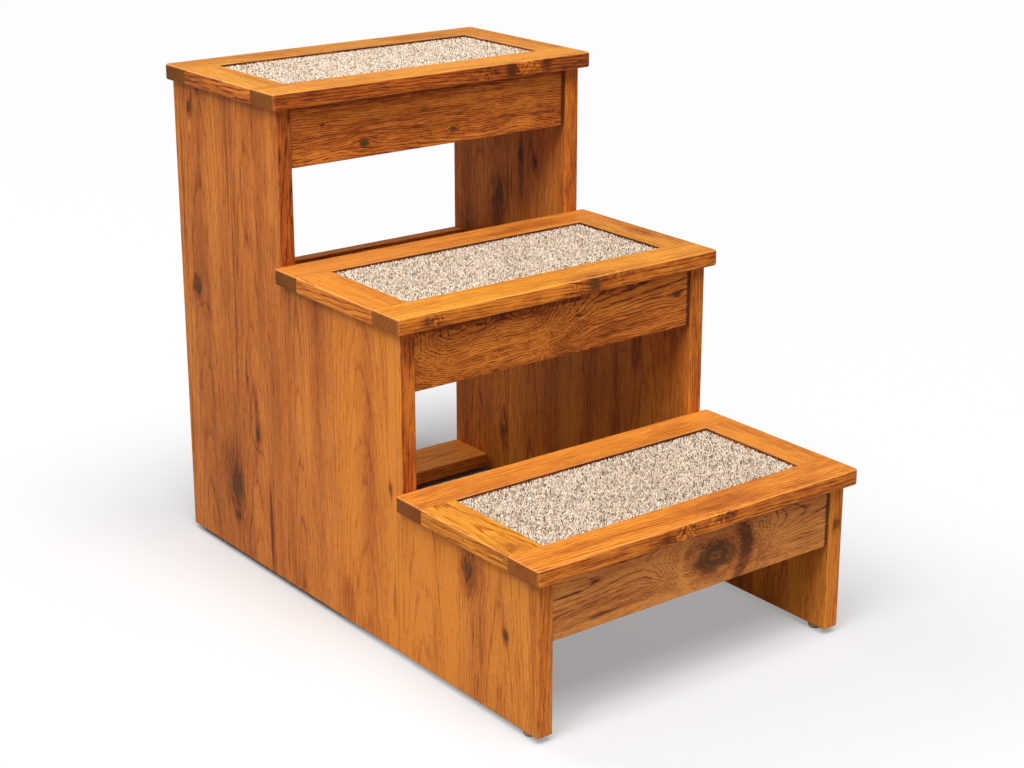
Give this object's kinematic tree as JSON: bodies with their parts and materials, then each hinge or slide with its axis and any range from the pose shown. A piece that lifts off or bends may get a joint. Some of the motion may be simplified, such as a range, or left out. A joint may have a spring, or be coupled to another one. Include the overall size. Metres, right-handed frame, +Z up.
{
  "type": "pet stairs",
  "caption": "Wooden pet stairs with carpet-inset treads on stepped side panels, aprons under the treads and an open back.",
  "frame": {"origin": "on the floor, under the middle of the whole outline", "axes": "+X to the right seen from the front, +Y from the front (low step) to the back (high step), +Z up"},
  "size_m": [0.46, 0.7316, 0.609],
  "materials": {
    "stained_hickory": "knotty hickory, orange-brown stain under satin lacquer",
    "plywood": "raw birch plywood",
    "beech": "raw turned beech",
    "carpet": "short twisted cut pile in cream, tan, brown and grey flecks",
    "glide": "dull nickel plate",
    "nail_steel": "bright wire"
  },
  "bodies": {
    "root": {"left_side_board_1": "stained_hickory", "left_side_board_2": "stained_hickory", "left_side_board_3": "stained_hickory", "left_side_board_4": "stained_hickory", "left_side_board_5": "stained_hickory", "left_side_board_6": "stained_hickory", "right_side_board_1": "stained_hickory", "right_side_board_2": "stained_hickory", "right_side_board_3": "stained_hickory", "right_side_board_4": "stained_hickory", "right_side_board_5": "stained_hickory", "right_side_board_6": "stained_hickory", "low_tread_front_rail": "stained_hickory", "low_tread_back_rail": "stained_hickory", "low_tread_left_stile": "stained_hickory", "low_tread_right_stile": "stained_hickory", "low_tread_plywood": "plywood", "low_tread_carpet": "carpet", "low_apron": "stained_hickory", "middle_tread_front_rail": "stained_hickory", "middle_tread_back_rail": "stained_hickory", "middle_tread_left_stile": "stained_hickory", "middle_tread_right_stile": "stained_hickory", "middle_tread_plywood": "plywood", "middle_tread_carpet": "carpet", "middle_apron": "stained_hickory", "top_tread_front_rail": "stained_hickory", "top_tread_back_rail": "stained_hickory", "top_tread_left_stile": "stained_hickory", "top_tread_right_stile": "stained_hickory", "top_tread_plywood": "plywood", "top_tread_carpet": "carpet", "top_apron": "stained_hickory", "bottom_stretcher": "stained_hickory", "middle_back_rail": "stained_hickory", "top_back_rail": "stained_hickory", "cross_board_dowels": "beech", "tread_dowels": "beech", "glide_front_left": "glide", "glide_front_right": "glide", "glide_back_left": "glide", "glide_back_right": "glide", "glide_nails": "nail_steel"}
  },
  "joints": []
}
